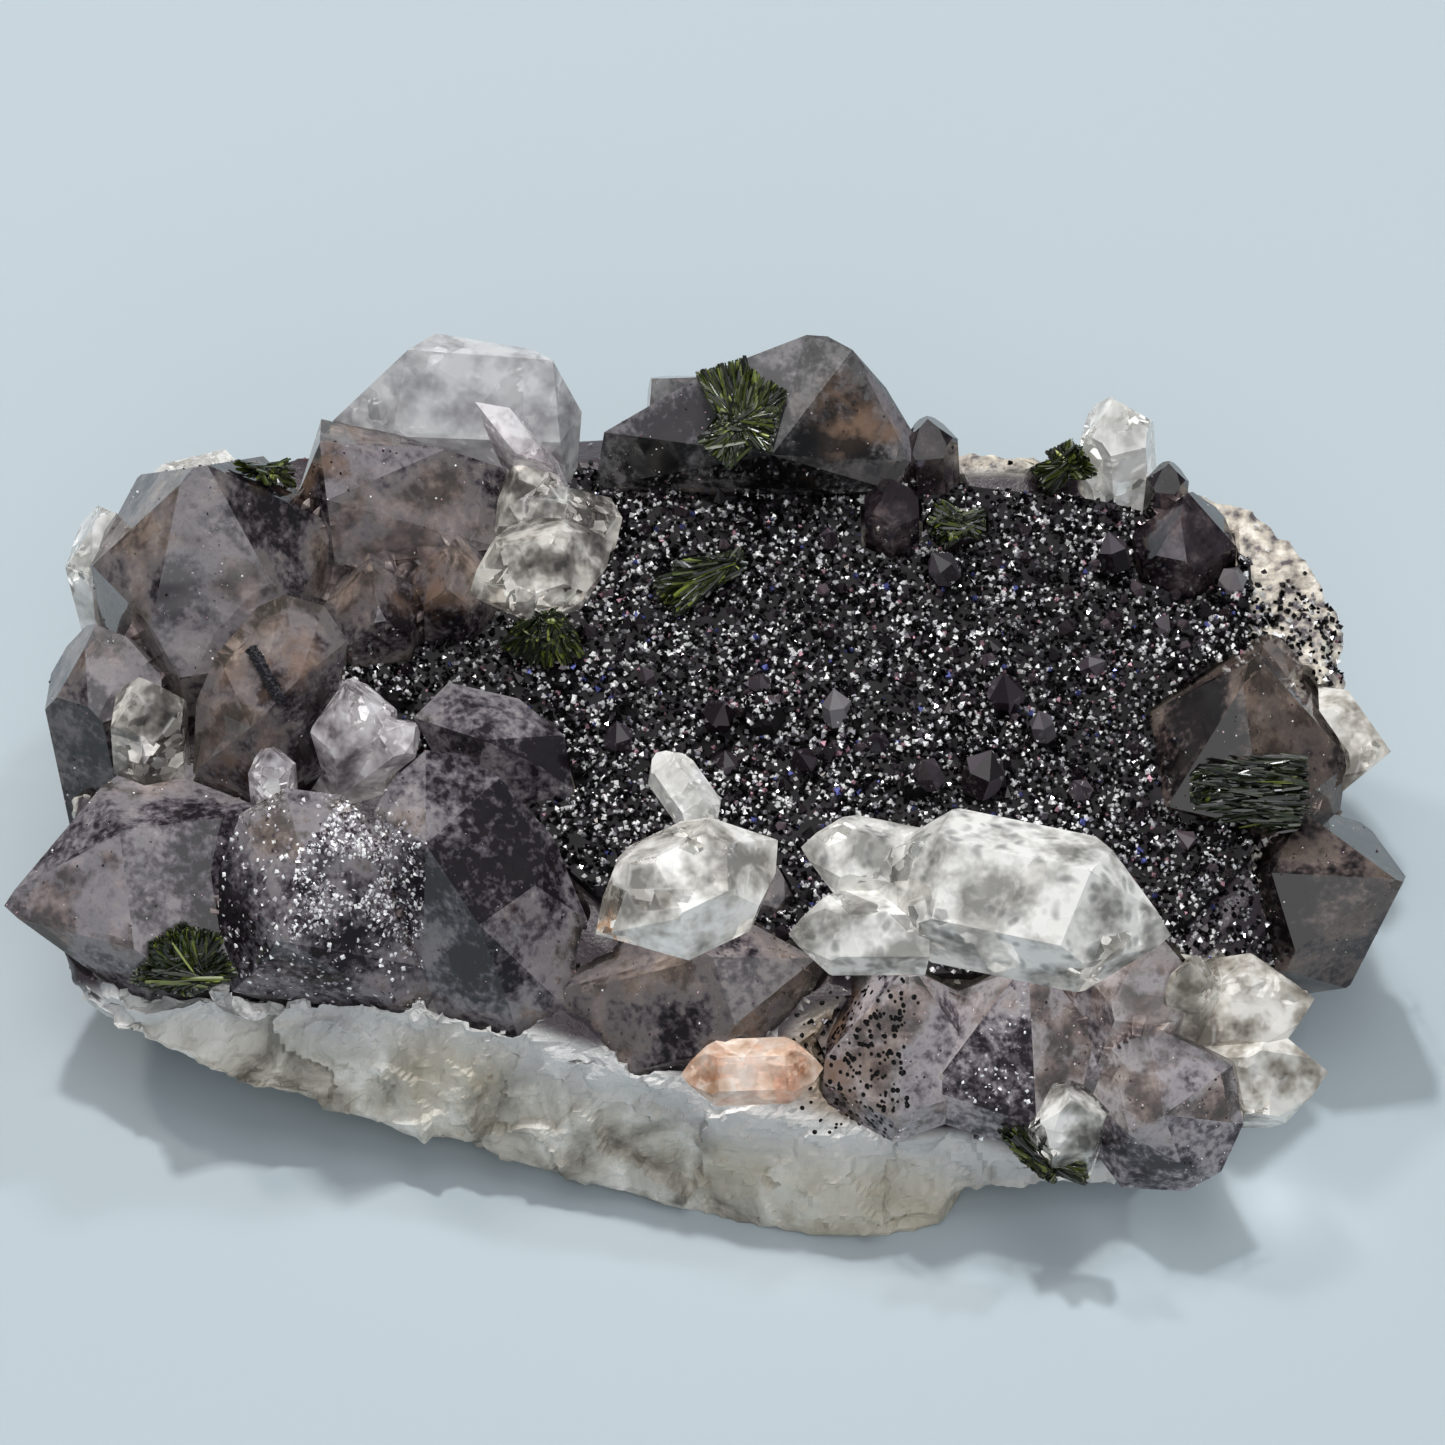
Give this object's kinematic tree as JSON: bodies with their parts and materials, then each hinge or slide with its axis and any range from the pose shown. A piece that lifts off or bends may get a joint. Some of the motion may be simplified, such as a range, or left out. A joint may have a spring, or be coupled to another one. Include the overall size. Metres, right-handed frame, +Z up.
{
  "type": "super seven quartz specimen",
  "caption": "Rough plate of smoky amethyst and clear quartz points on broken milky quartz, with a dark sparkling druse field and small green epidote sprays.",
  "frame": {"origin": "middle of the outline, on the flat of the broken base", "axes": "+X to the right in the picture, +Y away from the viewer, +Z up"},
  "size_m": [0.1116, 0.071, 0.0375],
  "materials": {
    "smoky_quartz": "glassy, cloudy inside with dark specks",
    "clear_quartz": "glassy, with white veils",
    "peach_quartz": "glassy, stained by iron",
    "epidote": "satin, fibrous blades",
    "goethite": "dull black",
    "druse": "sparkling small crystals",
    "milky_quartz": "broken, sugary and waxy"
  },
  "bodies": {
    "root": {"long_clear_floater": "clear_quartz", "bright_clear_floater": "clear_quartz", "slim_clear_floater": "clear_quartz", "left_clear_floater": "clear_quartz", "peach_floater": "peach_quartz", "upper_left_smoky_crystals": "smoky_quartz", "left_pale_crystal": "clear_quartz", "back_left_pale_crystal": "clear_quartz", "lower_left_amethysts": "smoky_quartz", "front_smoky_crystal": "smoky_quartz", "small_clear_crystals": "clear_quartz", "tiny_clear_crystal": "clear_quartz", "left_clear_crystal": "clear_quartz", "back_clear_crystal": "clear_quartz", "wedge_crystal": "smoky_quartz", "back_smoky_crystal": "smoky_quartz", "back_dark_crystal": "smoky_quartz", "druse_edge_crystal": "smoky_quartz", "top_right_clear_crystal": "clear_quartz", "right_dark_crystal": "smoky_quartz", "right_smoky_crystals": "smoky_quartz", "right_clear_crystal": "clear_quartz", "front_right_amethysts": "smoky_quartz", "front_right_clear_crystals": "clear_quartz", "front_clear_crystal": "clear_quartz", "goethite_rod": "goethite", "back_epidote_spray": "epidote", "field_epidote_blade": "epidote", "left_epidote_spray": "epidote", "right_epidote_spray": "epidote", "top_right_epidote_spray": "epidote", "left_front_epidote_fan": "epidote", "right_epidote_stack": "epidote", "front_epidote_crescent": "epidote", "back_left_epidote_tuft": "epidote", "druse_crust": "druse", "milky_quartz_base": "milky_quartz"}
  },
  "joints": []
}
